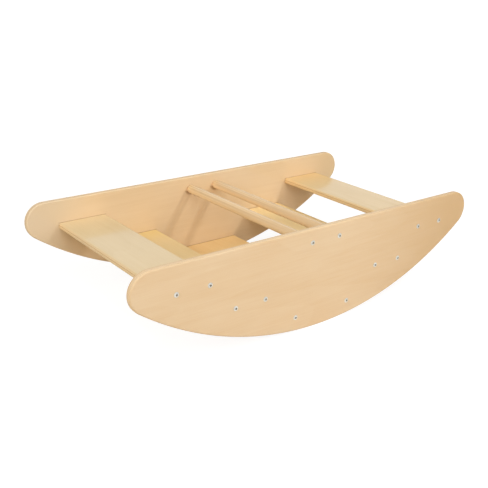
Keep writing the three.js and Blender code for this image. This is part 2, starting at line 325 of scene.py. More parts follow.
def plywood(name, grain_axis, thickness_axis, middle, to_joint, shift, pale, dark, heart_ply, drifts=()):
    """Birch plywood. middle is the sheet's mid-plane along its thickness, and shift is the place in the
    sheet that the piece was cut from. to_joint builds the distance from the nearest joint out of the
    place and the facing. heart_ply is the number of the one dark veneer."""
    material, tree = new_material(name)
    place, facing = place_and_facing(tree)
    width_axis = ALONG_X + ALONG_Y + ALONG_Z - grain_axis - thickness_axis
    along = calc(tree, "ADD", place[grain_axis], shift[0])
    across = calc(tree, "ADD", place[width_axis], shift[1])
    from_bottom = calc(tree, "SUBTRACT", place[thickness_axis], middle - SHEET / 2)
    in_plies = calc(tree, "MAXIMUM", calc(tree, "DIVIDE", from_bottom, PLY), PLY_MARGIN)
    in_plies = calc(tree, "MINIMUM", in_plies, PLIES - PLY_MARGIN)
    ply = calc(tree, "FLOOR", in_plies)
    crossed = calc(tree, "MODULO", ply, 2.0)
    wood = grain(tree, either(tree, crossed, along, across), either(tree, crossed, across, along),
                 calc(tree, "MULTIPLY_ADD", ply, LOG_STEP, from_bottom))

    flat = squared(tree, facing[thickness_axis])
    edge = calc(tree, "SUBTRACT", 1.0, squared(tree, flat))
    cut_ends = either(tree, crossed, squared(tree, facing[grain_axis]), squared(tree, facing[width_axis]))
    face = drifted(tree, place, mix_colour(tree, wood["Tone"], pale, dark), *drifts)
    shown = ply_stripes(tree, face, flat, edge, cut_ends, in_plies, heart_ply)

    # The product is largest half way round a rim, and 4 lifts that peak to 1
    rounding = times(tree, flat, calc(tree, "SUBTRACT", 1.0, flat), 4.0)
    patches = noise(tree, stretched(tree, along, across, from_bottom, *RUB_RATES), 2.0)
    wear = times(tree, rounding, between(tree, patches, *RUB_CUT))
    shown = mix_colour(tree, times(tree, wear, WORN_SHARE), shown, WORN_BIRCH)
    # Dust in the joints, and painted shade under the ends of the handles
    dust_and_shade = between(tree, to_joint(tree, place, facing), 0.0, JOINT_LINE, DUST_AND_SHADE_SHARE, 0.0)
    shown = mix_colour(tree, dust_and_shade, shown, JOINT_DUST_AND_SHADE)

    roughness = calc(tree, "MULTIPLY_ADD", wood["Fibres"], FIBRE_ROUGHNESS, SHEET_ROUGHNESS)
    for mark, added in ((cut_ends, END_ROUGHNESS), (wear, WORN_ROUGHNESS), (dust_and_shade, DUST_AND_SHADE_ROUGHNESS)):
        roughness = calc(tree, "MULTIPLY_ADD", mark, added, roughness)
    lacquered(tree, shown, wood, roughness, edge)
    return material


print("plywood material ready")

# %% [markdown]
# ## Where dust and painted shade lie
#
# The joints are found from the boxes of the boards and the handles, so they move with the CAD model. Each
# is given as a distance, zero in the joint and growing away from it. A panel takes the nearest of all its
# joints, and its outer face is far from every one.

# %% Where the joints are
BOARDS = ("seat_left", "seat_right", "foot_board_left", "foot_board_right", "floor_board")
HANDLES = ("handle_left", "handle_right")
UP_ENOUGH, TOO_STEEP = 0.9, 0.6        # how far a surface faces up where dust lies, and where none does
NOTCH_REACH, NOTCH_FADE = 15 * MM, 9 * MM      # of the painted shade spot under a handle, from the bar's axis
NOTCH_TOP = (-10 * MM, -2 * MM)        # the spot fades out between these heights, from the bar's axis


def middle_of(node, axis):
    low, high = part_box(node)
    return (low[axis] + high[axis]) / 2


def least(tree, values):
    """The smallest of several values."""
    smallest = values[0]
    for value in values[1:]:
        smallest = calc(tree, "MINIMUM", smallest, value)
    return smallest


def outside_box(tree, u, w, box):
    """How far (u, w) lies outside a flat box, given as its middle and its half sides."""
    from_sides = []
    for value, middle, half in zip((u, w), *box):
        from_middle = calc(tree, "ABSOLUTE", calc(tree, "SUBTRACT", value, middle))
        from_sides.append(calc(tree, "SUBTRACT", from_middle, half))
    return calc(tree, "MAXIMUM", *from_sides)


def shade_under_handle(tree, place, node):
    """Painted shade: the soft dark spot on a panel under the end of a handle, as a distance for the joint
    line.
    """
    u = calc(tree, "SUBTRACT", place[ALONG_X], middle_of(node, ALONG_X))
    w = calc(tree, "SUBTRACT", place[ALONG_Z], middle_of(node, ALONG_Z))
    from_axis = calc(tree, "SQRT", calc(tree, "ADD", squared(tree, u), squared(tree, w)))
    ring = between(tree, from_axis, NOTCH_REACH, NOTCH_REACH + NOTCH_FADE, 0.0, JOINT_LINE, "LINEAR")
    return calc(tree, "MAXIMUM", ring, between(tree, w, *NOTCH_TOP, 0.0, JOINT_LINE))


def panel_joints(side):
    """The inner face of a panel: dust along the top of each board's end, and a spot of painted shade under
    each handle. side is the sign of the panel's place on Y."""
    spots = []
    for node in BOARDS:
        low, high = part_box(node)
        spots.append((((low.x + high.x) / 2, high.z), ((high.x - low.x) / 2, 0.0)))

    def distance(tree, place, facing):
        marks = [outside_box(tree, place[ALONG_X], place[ALONG_Z], spot) for spot in spots]
        marks += [shade_under_handle(tree, place, node) for node in HANDLES]
        on_outer_face = calc(tree, "MULTIPLY_ADD", facing[ALONG_Y], side, 1.0)
        return calc(tree, "MAXIMUM", least(tree, marks), on_outer_face)

    return distance


def board_joints(reach):
    """Both ends of a board, where it faces up: dust lies there, and not on an upright edge."""
    def distance(tree, place, facing):
        to_end = calc(tree, "SUBTRACT", reach, calc(tree, "ABSOLUTE", place[ALONG_Y]))
        turned_away = between(tree, facing[ALONG_Z], UP_ENOUGH, TOO_STEEP, 0.0, JOINT_LINE)
        return calc(tree, "ADD", to_end, turned_away)

    return distance


print("joints of", len(BOARDS), "boards and", len(HANDLES), "handles")

# %% [markdown]
# ## Seven pieces, seven cuts
#
# No two pieces come from the same place in a sheet. Each has its own pair of colours and its own dark
# veneer, and some of them change colour slowly from one place to another.

# %% Cut the panels and boards out of their sheets
cuts = {
    "side_panel_front": dict(
        shift=(0.3, 0.2), pale=colour(230, 208, 177), dark=colour(220, 189, 149), heart_ply=9,
        # Darker towards the right tip: painted shade, where the lamps' light falls off
        drifts=[(ALONG_X, 0.05, 0.65, colour(205, 171, 125), 1.0)]),
    "side_panel_back": dict(
        shift=(2.9, 1.7), pale=colour(238, 212, 176), dark=colour(229, 200, 159), heart_ply=4,
        # Darker towards both tips: painted shade
        drifts=[(ALONG_X, 0.35, 0.58, colour(224, 195, 153), 1.0),
                (ALONG_X, -0.38, -0.54, colour(224, 202, 171), 1.0)]),
    "seat_left": dict(
        shift=(5.1, 0.6), pale=colour(236, 213, 170), dark=colour(225, 199, 153), heart_ply=8),
    "seat_right": dict(
        shift=(7.4, 2.2), pale=colour(243, 216, 168), dark=colour(232, 202, 149), heart_ply=8,
        # More golden towards the far end: a painted reflection of the back panel, added to the coat's own
        drifts=[(ALONG_Y, 0.10, 0.28, colour(238, 198, 132), 0.6)]),
    "foot_board_left": dict(
        shift=(3.3, 4.1), pale=colour(241, 214, 163), dark=colour(230, 203, 148), heart_ply=3,
        drifts=[(ALONG_Y, 0.17, 0.28, colour(234, 205, 136), 0.9)]),
    "foot_board_right": dict(
        shift=(9.2, 3.4), pale=colour(247, 224, 173), dark=colour(236, 208, 153), heart_ply=7,
        # Brighter towards the far end: painted light, where the far end lies in full light
        drifts=[(ALONG_Y, 0.12, 0.26, colour(253, 225, 166), 1.0)]),
    "floor_board": dict(
        shift=(11.8, 5.3), pale=colour(241, 209, 151), dark=colour(231, 192, 130), heart_ply=5)}
woods = {}
for node, cut in cuts.items():
    if node in BOARDS:
        axes, to_joint = (ALONG_Y, ALONG_Z), board_joints(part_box(node)[1].y)
    else:
        axes, to_joint = (ALONG_X, ALONG_Y), panel_joints(math.copysign(1.0, middle_of(node, ALONG_Y)))
    woods[node] = plywood("birch_ply_" + node, *axes, middle_of(node, axes[1]), to_joint, **cut)
print("plywood materials:", len(woods))

# %% [markdown]
# ## Solid birch for the handles
#
# The handles are turned bars, not plywood. Their grain runs along the bar, and because the bar was cut
# straight out of a plank its growth rings are nearly flat sheets that leave the surface as long lines. The
# same grain group serves, turned so that "along" is the bar's length. The ends are cut across the fibres,
# so they are browner. The underside of a bar is painted paler, painted light from below, and towards the
# front a bar is painted darker, painted shade.

# %% The handle material
BAR_PALE, BAR_DARK = colour(240, 209, 163), colour(219, 185, 138)
LINE_RATES = (1.6, 300.0)  # growth rings in a metre of bar and of plank, about 3 mm each
LINE_CUT = (0.4, 0.6)
BAR_TONE_CENTRE = 0.4
BAR_END_SHARE = 0.5        # how far an end goes towards end grain
# Painted shade towards the front of a bar, and painted light on its underside
FRONT_SHADE_DRIFT = (ALONG_Y, 0.05, -0.25, colour(222, 190, 145), 1.0)
UNDERSIDE_PAINTED_LIGHT, UNDERSIDE_LIGHT_SHARE = colour(255, 224, 178), 0.85
LIGHT_FADES_ABOVE, LIGHT_FULL_BELOW = 12 * MM, -6 * MM      # heights from the bar's axis


def solid_birch(name, shift, tilt, axis_z):
    """Birch with its fibres along Y. tilt turns the growth rings about the bar, whose axis is at height
    axis_z."""
    material, tree = new_material(name)
    place, facing = place_and_facing(tree)
    x, y, z = place
    cos, sin = math.cos(tilt), math.sin(tilt)
    along = calc(tree, "ADD", y, shift[0])
    across = calc(tree, "ADD", times(tree, x, cos), calc(tree, "MULTIPLY_ADD", z, sin, shift[1]))
    depth = calc(tree, "SUBTRACT", times(tree, z, cos), times(tree, x, sin))
    wood = grain(tree, along, across, depth)
    lines = noise(tree, stretched(tree, along, across, depth, *LINE_RATES), 1.0)
    tone = calc(tree, "ADD", between(tree, lines, *LINE_CUT), wood["Tone"])
    face = mix_colour(tree, calc(tree, "SUBTRACT", tone, BAR_TONE_CENTRE), BAR_PALE, BAR_DARK)
    # Painted light on the underside, and painted shade towards the front
    lit_underside = (ALONG_Z, axis_z + LIGHT_FADES_ABOVE, axis_z + LIGHT_FULL_BELOW, UNDERSIDE_PAINTED_LIGHT, UNDERSIDE_LIGHT_SHARE)
    face = drifted(tree, place, face, FRONT_SHADE_DRIFT, lit_underside)
    ends = squared(tree, facing[ALONG_Y])
    shown = mix_colour(tree, times(tree, ends, BAR_END_SHARE), face, END_GRAIN)
    roughness = calc(tree, "MULTIPLY_ADD", wood["Fibres"], FIBRE_ROUGHNESS, BAR_ROUGHNESS)
    lacquered(tree, shown, wood, roughness, ends)
    return material


for node, shift, tilt in zip(HANDLES, ((0.4, 0.3), (2.6, 1.9)), (0.5, 1.9)):
    woods[node] = solid_birch("birch_" + node, shift, tilt, middle_of(node, ALONG_Z))
print("handle materials ready")

# %% [markdown]
# ## Zinc plate and bare steel
#
# The bolts and barrel nuts are zinc plated: a bright and slightly warm grey, whose tint changes a little
# over a few millimetres, with small differences in gloss from the plating bath. The inside of each bolt's
# socket is painted a duller grey, painted shade in the recess: the rings inside a socket are marked with a
# named value, and the material reads it. The threaded inserts inside the handles are bare steel, which is
# darker. Metal gets its look from what it reflects, so its colour stays plain and the noise works mostly on
# the roughness.

# %% The metal materials
# Painted shade: the inside of a socket is painted this duller grey
SOCKET_SHADE_GREY = colour(160, 154, 142)
CLOUD_RATE, SCRATCH_RATE = 260.0, 2600.0       # cycles in a metre
CLOUD_CUT = (0.35, 0.65)
METAL_ROUGHNESS = 0.3
CLOUD_ROUGHNESS, SOCKET_ROUGHNESS = 0.2, 0.3   # added to it
SCRATCH_DEPTH, SCRATCH_STRENGTH = 0.01 * MM, 0.3


def metal(name, first, second):
    """A metal with clouds in its tint and gloss. Points marked "hollow" lie in a socket and get painted
    shade.
    """
    material, tree = new_material(name)
    place = add_node(tree, "ShaderNodeTexCoord").outputs["Object"]
    hollow = add_node(tree, "ShaderNodeAttribute", attribute_name="hollow").outputs["Fac"]
    clouds = noise(tree, place, 3.0, CLOUD_RATE)
    tint = mix_colour(tree, between(tree, clouds, *CLOUD_CUT), first, second)
    roughness = calc(tree, "MULTIPLY_ADD", clouds, CLOUD_ROUGHNESS, METAL_ROUGHNESS)
    roughness = calc(tree, "MULTIPLY_ADD", hollow, SOCKET_ROUGHNESS, roughness)
    scratches = noise(tree, place, 2.0, SCRATCH_RATE)
    bump = add_node(tree, "ShaderNodeBump", {
        "Strength": SCRATCH_STRENGTH, "Distance": SCRATCH_DEPTH, "Height": scratches})
    # The socket's rings get painted shade
    shader = add_node(tree, "ShaderNodeBsdfPrincipled", {
        "Base Color": mix_colour(tree, hollow, tint, SOCKET_SHADE_GREY), "Roughness": roughness, "Metallic": 1.0,
        "Normal": bump.outputs[0]})
    add_node(tree, "ShaderNodeOutputMaterial", {"Surface": shader.outputs[0]})
    return material


zinc = metal("bright_zinc", colour(234, 232, 226), colour(214, 212, 206))
steel = metal("plain_steel", colour(168, 168, 166), colour(150, 148, 144))
print("metals:", zinc.name, steel.name)

# %% [markdown]
# ## One rule for all nine wooden pieces
#
# A side panel, a board and a handle look different, but they are made by one rule: an outline, pushed along
# Y to its length, with its two rims rounded off. So one Geometry Nodes tree grows them all. It starts from
# a closed drum, which already has its faces the right way round, and moves each ring of the drum to its
# place: near the two ends the rings are pulled in along the outline's own way out, by the sine rule of a
# quarter circle. A guard ring beside each rounding keeps the large flat faces flat when the mesh is shaded
# smooth. Last, the drilled holes are cut out, just as a machine would drill them.

# %% Steps that the trees share
SHARP_EDGE = math.radians(35)
DRILL_SIDES = 40


def sharp_by_angle(tree, mesh):
    """Smooth shading, but every edge that is bent more than SHARP_EDGE stays crisp."""
    bent = add_node(tree, "GeometryNodeInputMeshEdgeAngle").outputs["Unsigned Angle"]
    crisp = add_node(tree, "FunctionNodeCompare", {0: bent, 1: SHARP_EDGE}, operation="GREATER_THAN")
    smooth = add_node(tree, "GeometryNodeSetShadeSmooth", {
        "Geometry": mesh, "Shade Smooth": True}, domain="FACE")
    return add_node(tree, "GeometryNodeSetShadeSmooth", {
        "Geometry": smooth.outputs[0], "Selection": crisp.outputs[0], "Shade Smooth": False},
        domain="EDGE").outputs[0]


def finish_tree(tree, geometry, material, result):
    """The last two steps of every tree: real geometry, and its material."""
    real = add_node(tree, "GeometryNodeRealizeInstances", {"Geometry": geometry}).outputs[0]
    dressed = add_node(tree, "GeometryNodeSetMaterial", {"Geometry": real, "Material": material}).outputs[0]
    tree.links.new(dressed, result)


def stored(tree, name, kind):
    return add_node(tree, "GeometryNodeInputNamedAttribute", {"Name": name}, data_type=kind).outputs[0]


def along_axis(tree):
    """The turn that lays a copy's Z along the axis stored on its point."""
    axis = stored(tree, "axis", "FLOAT_VECTOR")
    return add_node(tree, "FunctionNodeAlignRotationToVector", {"Vector": axis}, axis="Z").outputs[0]


def drilled(tree, mesh, bores):
    """Cuts a cylinder out of the mesh at each point of the bores object, along that point's axis."""
    places = add_node(tree, "GeometryNodeObjectInfo", {"Object": bores}).outputs["Geometry"]
    drill = add_node(tree, "GeometryNodeMeshCylinder", {
        "Vertices": DRILL_SIDES, "Radius": 1.0, "Depth": 1.0}).outputs["Mesh"]
    radius, reach = stored(tree, "radius", "FLOAT"), stored(tree, "reach", "FLOAT")
    drills = add_node(tree, "GeometryNodeInstanceOnPoints", {
        "Points": places, "Instance": drill, "Rotation": along_axis(tree),
        "Scale": pack(tree, radius, radius, reach)}).outputs[0]
    return add_node(tree, "GeometryNodeMeshBoolean", {
        "Mesh 1": mesh, "Mesh 2": drills}, operation="DIFFERENCE", solver="EXACT").outputs["Mesh"]


print("shared steps ready")


# %% The tree that grows a wooden piece
def piece_tree():
    inputs = {"Outline": "Geometry", "Middle": "Float", "Length": "Float", "Rim radius": "Float",
              "Rim steps": "Int", "Guard": "Float", "Bores": "Object", "Material": "Material"}
    tree, given, result = new_group(GEOMETRY, "piece_from_outline", inputs, {"Piece": "Geometry"})
    outline, steps, rim, guard = (given[name] for name in ("Outline", "Rim steps", "Rim radius", "Guard"))
    columns = add_node(tree, "GeometryNodeAttributeDomainSize", {0: outline}).outputs["Point Count"]
    # Each half has a guard ring on the flat face, steps + 1 rings of rounding and a guard ring on the side
    last_row = calc(tree, "MULTIPLY_ADD", steps, 2.0, 5.0)
    drum = add_node(tree, "GeometryNodeMeshCylinder", {
        "Vertices": columns, "Side Segments": last_row, "Radius": 1.0, "Depth": 1.0}).outputs["Mesh"]
    index = add_node(tree, "GeometryNodeInputIndex").outputs[0]
    here = add_node(tree, "GeometryNodeInputPosition").outputs[0]
    column = calc(tree, "MODULO", index, columns)
    row = calc(tree, "FLOOR", calc(tree, "DIVIDE", index, columns))
    from_end = calc(tree, "MINIMUM", row, calc(tree, "SUBTRACT", last_row, row))
    turn = between(tree, from_end, 1.0, calc(tree, "ADD", steps, 1.0), 0.0, math.pi / 2, "LINEAR")
    is_face_guard = calc(tree, "LESS_THAN", from_end, 0.5)
    is_side_guard = calc(tree, "GREATER_THAN", from_end, calc(tree, "ADD", steps, 1.5))
    pulled_in = times(tree, rim, calc(tree, "SUBTRACT", 1.0, calc(tree, "SINE", turn)))
    pulled_in = calc(tree, "MULTIPLY_ADD", is_face_guard, guard, pulled_in)
    from_face = times(tree, rim, calc(tree, "SUBTRACT", 1.0, calc(tree, "COSINE", turn)))
    from_face = calc(tree, "MULTIPLY_ADD", is_side_guard, guard, from_face)
    reach = calc(tree, "SUBTRACT", times(tree, given["Length"], 0.5), from_face)
    end = calc(tree, "SIGN", split(tree, here)[ALONG_Z])
    along_y = calc(tree, "SUBTRACT", given["Middle"], times(tree, end, reach))

    def from_outline(value):
        return add_node(tree, "GeometryNodeSampleIndex", {
            "Geometry": outline, "Value": value, "Index": column}, data_type="FLOAT_VECTOR").outputs[0]

    point = split(tree, from_outline(here))
    outward = split(tree, from_outline(stored(tree, "outward", "FLOAT_VECTOR")))
    inward = times(tree, pulled_in, -1.0)
    place = pack(tree, calc(tree, "MULTIPLY_ADD", outward[ALONG_X], inward, point[ALONG_X]), along_y,
                 calc(tree, "MULTIPLY_ADD", outward[ALONG_Z], inward, point[ALONG_Z]))
    grown = add_node(tree, "GeometryNodeSetPosition", {"Geometry": drum, "Position": place}).outputs[0]
    crisp = sharp_by_angle(tree, drilled(tree, grown, given["Bores"]))
    finish_tree(tree, crisp, given["Material"], result[0])
    return tree


PIECE_TREE = piece_tree()
print("tree:", PIECE_TREE.name, "with", len(PIECE_TREE.nodes), "nodes")

# %% [markdown]
# ## Feeding a tree and keeping its result
#
# A tree runs as a modifier on a small source mesh whose points carry named values, such as the way out of
# the wood or a drill's axis. The modifier's inputs are set before the first evaluation. Then the result is
# copied into a plain mesh and the source is thrown away, so that what is left behaves like any modelled
# piece.


# %% Run a tree once
def linked_object(name, data):
    made = bpy.data.objects.new(name, data)
    bpy.context.scene.collection.objects.link(made)
    return made


def points_object(name, points, **values):
    """Loose points with named values on them: a number or a vector for each point."""
    mesh = bpy.data.meshes.new(name)
    mesh.from_pydata(points, [], [])
    for title, row in values.items():
        vector = len(row) > 0 and hasattr(row[0], "__len__")
        layer = mesh.attributes.new(title, "FLOAT_VECTOR" if vector else "FLOAT", "POINT")
        flat = [part for item in row for part in item] if vector else list(row)
        layer.data.foreach_set("vector" if vector else "value", flat)
    return linked_object(name, mesh)


def run_tree(tree, source, name, **values):
    """Runs a tree on the source and returns what it makes as a plain mesh object at the origin."""
    modifier = source.modifiers.new(name, "NODES")
    modifier.node_group = tree
    for item in tree.interface.items_tree:
        key = item.name.lower().replace(" ", "_")
        if item.in_out == "INPUT" and key in values:
            modifier[item.identifier] = values[key]
    source.update_tag()
    graph = bpy.context.evaluated_depsgraph_get()
    mesh = bpy.data.meshes.new_from_object(source.evaluated_get(graph), depsgraph=graph)
    source.modifiers.remove(modifier)
    bpy.data.objects.remove(source)
    for index in reversed(range(len(mesh.materials))):
        if mesh.materials[index] is None:
            mesh.materials.pop(index=index)
    mesh.name = name
    return linked_object(name, mesh)


print("ready to run trees")


# %% Hand a piece over
def volume_of(piece):
    shape = bmesh.new()
    shape.from_mesh(piece.data)
    volume = shape.calc_volume(signed=True)
    shape.free()
    return volume


def place_piece(piece, slot, *nodes):
    """Hands a finished piece over to the frame."""
    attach(piece, "root")
    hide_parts(*nodes)
    print(f"{piece.name}: {len(piece.data.polygons)} faces, {volume_of(piece) * 1e6:.0f} cm3")


def grow(node, slot, outline, bores, rim_radius, rim_steps, guard):
    """Grows one wooden piece as long as its node. Each bore is (place, axis, radius, reach)."""
    low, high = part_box(node)
    places, axes, radii, reaches = zip(*bores)
    drills = points_object("drills", places, axis=axes, radius=radii, reach=reaches)
    piece = run_tree(PIECE_TREE, outline, "birch_" + node, middle=(low.y + high.y) / 2,
                     length=high.y - low.y, rim_radius=rim_radius, rim_steps=rim_steps, guard=guard,
                     bores=drills, material=woods[node])
    bpy.data.objects.remove(drills)
    place_piece(piece, slot, node)


print("ready to hand pieces over")

# %% [markdown]
# ## Outlines from arcs
#
# Every outline here is a chain of arcs with straight runs between them, so it can be walked by the turning
# of its outward direction. Each column of the mesh stores that direction beside its place, and the tree
# uses it to round the rims. Guard points go just inside the ends of each straight run, for the same reason
# as the guard rings.

# %% Walk round an outline
SAME_PLACE = 1e-6          # metres between two points that count as one
SAME_WAY = 1 - 1e-9        # the least cosine between two directions that count as one
GUARDS_IN_RUN = 4          # a straight run that is shorter than so many guard widths gets no guard points


def outline_object(arcs, guard):
    """arcs are ((x, z) of the middle, radius, first angle and sweep in degrees, steps), anticlockwise."""
    columns = []
    for (x, z), radius, first, sweep, steps in arcs:
        for step in range(steps + 1):
            angle = math.radians(first + sweep * step / steps)
            out = Vector((math.cos(angle), 0, math.sin(angle)))
            place = Vector((x, 0, z)) + radius * out
            if not columns or (place - columns[-1][0]).length > SAME_PLACE:
                columns.append((place, out))
    if (columns[0][0] - columns[-1][0]).length < SAME_PLACE:
        columns.pop()
    guarded = []
    for (place, out), (after, out_after) in zip(columns, columns[1:] + columns[:1]):
        guarded.append((place, out))
        run = after - place
        if out.dot(out_after) > SAME_WAY and run.length > GUARDS_IN_RUN * guard:
            step = run.normalized() * guard
            guarded += [(place + step, out), (after - step, out)]
    return points_object("outline", [p for p, _ in guarded], outward=[tuple(o) for _, o in guarded])


print("outline walker ready")

# %% [markdown]
# ## The two side panels
#
# Each side is one sheet, cut to the shape of a shallow bowl: a straight top edge, two round tips and one
# long rocking arc that runs into the tips without a corner. Length and height come from the CAD box, and
# the radius of the rocking arc follows from them, because the arc has to touch the floor and both tips. All
# rims are rounded over by 4 mm, since hands and cheeks meet them. Twelve holes take the bolts.

# %% Grow the side panels
TIP_RADIUS = 56 * MM
TIP_STEPS, ROCKING_STEPS = 40, 120
PANEL_RIM, PANEL_GUARD = 4 * MM, 1 * MM
SOFT_RIM_STEPS = 8         # in a rounding that is seen from near by
BOLT_BORE = 3.5 * MM       # a radius
OVERRUN = 1 * MM           # how far a drill starts or ends outside the wood
ACROSS_BOAT, UPWARD = (0, 1, 0), (0, 0, 1)


def centre_of(node):
    low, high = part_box(node)
    return (low + high) / 2


def names(start):
    return sorted(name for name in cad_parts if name.startswith(start))


def panel_outline(high):
    tip_x, tip_z = high.x - TIP_RADIUS, high.z - TIP_RADIUS
    rocking = (tip_x ** 2 + tip_z ** 2 - TIP_RADIUS ** 2) / (2 * (tip_z - TIP_RADIUS))
    join = math.degrees(math.atan2(tip_z - rocking, tip_x))
    tip_sweep = 90 - join
    print(f"rocking radius {rocking / MM:.1f} mm, each tip turns {tip_sweep:.1f} degrees")
    return outline_object([
        ((tip_x, tip_z), TIP_RADIUS, join, tip_sweep, TIP_STEPS),
        ((-tip_x, tip_z), TIP_RADIUS, 90, tip_sweep, TIP_STEPS),
        ((0, rocking), rocking, 90 + tip_sweep, 2 * (90 + join), ROCKING_STEPS)], PANEL_GUARD)


for side in ("front", "back"):
    node = "side_panel_" + side
    low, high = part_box(node)
    reach = high.y - low.y + 2 * OVERRUN
    bores = []
    for bolt in names(f"bolt_{side}_"):
        middle = centre_of(bolt)
        bores.append(((middle.x, (low.y + high.y) / 2, middle.z), ACROSS_BOAT, BOLT_BORE, reach))
    grow(node, "panel_plywood", panel_outline(high), bores, PANEL_RIM, SOFT_RIM_STEPS, PANEL_GUARD)

# %% [markdown]
# ## The five boards
#
# Seats, foot boards and floor board are cut from the same kind of sheet. Their long edges are rounded over
# by 6 mm for the backs of the knees. Their ends stay square, because they are pressed flat against the
# panels, but the machine leaves a small arris there, and that arris is the thin dark line where a board
# meets a panel. From each end two holes run in for the bolts, and from below a wider blind hole takes the
# barrel nut that the bolt pulls on.

# %% Grow the boards
BOARD_EDGE, BOARD_EDGE_STEPS = 6 * MM, 10
BOARD_GUARD = 0.5 * MM
END_ARRIS, END_ARRIS_STEPS = 1.8 * MM, 3
BOLT_BORE_DEPTH = 35 * MM
NUT_BORE = 5.5 * MM        # a radius
NUT_SPARE = 0.5 * MM       # left above a nut in its bore


def board_outline(low, high):
    middle = (low + high) / 2
    x, z = (high.x - low.x) / 2 - BOARD_EDGE, (high.z - low.z) / 2 - BOARD_EDGE
    corners = ((x, z), (-x, z), (-x, -z), (x, -z))
    arcs = [((middle.x + cx, middle.z + cz), BOARD_EDGE, 90 * quarter, 90, BOARD_EDGE_STEPS)
            for quarter, (cx, cz) in enumerate(corners)]
    return outline_object(arcs, BOARD_GUARD)


def joint_bores(nut, low, high):
    """The two holes of one joint: from the board's end for the bolt, and from below for the nut."""
    place = centre_of(nut)
    side = math.copysign(1, place.y)
    start, stop = side * (high.y + OVERRUN), side * (high.y - BOLT_BORE_DEPTH)
    bottom, top = low.z - OVERRUN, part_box(nut)[1].z + NUT_SPARE
    return [((place.x, (start + stop) / 2, place.z), ACROSS_BOAT, BOLT_BORE, abs(start - stop)),
            ((place.x, place.y, (bottom + top) / 2), UPWARD, NUT_BORE, top - bottom)]


for node in BOARDS:
    low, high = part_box(node)
    bores = []
    for nut in names("barrel_nut_"):
        if nut.split("_", 3)[3].startswith(node):
            bores += joint_bores(nut, low, high)
    grow(node, "board_plywood", board_outline(low, high), bores, END_ARRIS, END_ARRIS_STEPS, BOARD_GUARD)

# %% [markdown]
# ## The two handles
#
# Round bars with softly rounded ends, so that only a small ring of each end touches the panel and a dark
# notch shows under it. In each end sits a threaded insert in a stepped hole.

# %% Grow the handles
HANDLE_RIM, HANDLE_GUARD = 6 * MM, 0.5 * MM
BAR_SIDES = 64
FLANGE_RADIUS, FLANGE_DEPTH = 6.5 * MM, 1.5 * MM
INSERT_RADIUS = 5 * MM
INSERT_GAP = 0.3 * MM
BOLT_PAST_INSERT = 5 * MM


def insert_bores(insert, middle, end):
    """The stepped hole in one end of a bar, for the insert's flange, its body and the bolt behind it."""
    low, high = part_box(insert)
    side, length = math.copysign(1, low.y), high.y - low.y
    steps = ((FLANGE_RADIUS + INSERT_GAP, FLANGE_DEPTH + INSERT_GAP),
             (INSERT_RADIUS + INSERT_GAP, length + INSERT_GAP), (BOLT_BORE, length + BOLT_PAST_INSERT))
    return [((middle.x, side * (end + (OVERRUN - depth) / 2), middle.z), ACROSS_BOAT, radius,
             depth + OVERRUN) for radius, depth in steps]


for node in HANDLES:
    low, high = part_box(node)
    middle = (low + high) / 2
    bores = []
    for insert in names("insert_"):
        if insert.endswith(node):
            bores += insert_bores(insert, middle, high.y)
    circle = ((middle.x, middle.z), (high.x - low.x) / 2, 0, 360, BAR_SIDES)
    grow(node, "handle_wood", outline_object([circle], HANDLE_GUARD), bores, HANDLE_RIM, SOFT_RIM_STEPS,
         HANDLE_GUARD)

# %% [markdown]
# ## Bolts and barrel nuts
#
# A bolt and a nut are turned parts, so each is drawn as a list of rings from one end to the other. The
# hexagon socket is only a ring that isn't round: its points lie on a hexagon. One fine nut and one fine
# bolt of each length are enough, because a second tree sets copies out on the places that the CAD model
# gives, each along its own axis. Nobody tightens 24 bolts to the same angle, so the tree turns each bolt by
# a random angle from a fixed seed. The nuts aren't turned: their threaded hole has to face the bolt.

# %% Turn one shape from rings
SIDES = 48


def turned_object(name, rings, sides=SIDES, socket_rings=0):
    """rings are (radius, height, corners) from one pole to the other. corners is 0 for a round ring, or the
    number of a polygon's corners, whose radius is half the width across its flats. The last socket_rings of
    them are marked hollow."""
    shape = bmesh.new()
    marks = shape.verts.layers.float.new("hollow")
    rows = []
    for number, (radius, height, corners) in enumerate(rings):
        inside = float(number >= len(rings) - socket_rings)
        if radius == 0:
            rows.append([shape.verts.new((0, 0, height))])
            rows[-1][0][marks] = inside
            continue
        row = []
        for index in range(sides):
            angle = 2 * math.pi * index / sides
            reach = radius
            if corners:
                wedge = 2 * math.pi / corners
                reach = radius / math.cos(angle % wedge - wedge / 2)
            row.append(shape.verts.new((reach * math.cos(angle), reach * math.sin(angle), height)))
            row[-1][marks] = inside
        rows.append(row)
    for row, after in zip(rows, rows[1:]):
        for index in range(sides):
            corners = [row[index % len(row)], row[(index + 1) % len(row)],
                       after[(index + 1) % len(after)], after[index % len(after)]]
            shape.faces.new(list(dict.fromkeys(corners)))
    bmesh.ops.recalc_face_normals(shape, faces=shape.faces)
    mesh = bpy.data.meshes.new(name)
    shape.to_mesh(mesh)
    shape.free()
    return linked_object(name, mesh)


print("ready to turn shapes of", SIDES, "sides")

# %% The profile of a bolt
HEAD_RADIUS, SHANK_RADIUS = 7 * MM, 3 * MM
HEAD_RIM, HEAD_DOME = 0.8 * MM, 2 * MM
HEAD_HEIGHT = HEAD_RIM + HEAD_DOME
POINT_RADIUS, POINT_LENGTH = 2.2 * MM, 0.8 * MM
HEAD_FOOT = ((6.8, 0), (7, 0.2), (7, 0.65))             # radius and height in mm
DOME_RADII = (6.85, 6.4, 5.7, 4.9, 4.1, 3.6, 3.2)       # in mm
LEAD_IN = ((2.8, 0.2), (2.4, 0.5))                      # radius and depth under the dome's edge, in mm
SOCKET_WIDTH = 4 * MM      # across the flats
SOCKET_MOUTH = 0.8 * MM    # under the dome's edge
SOCKET_DEPTH, SOCKET_POINT = 2.2 * MM, 2.6 * MM         # under the top that the full dome would have
SOCKET_RINGS = len(LEAD_IN) + 3                         # the lip, the hexagon's two rings and its floor


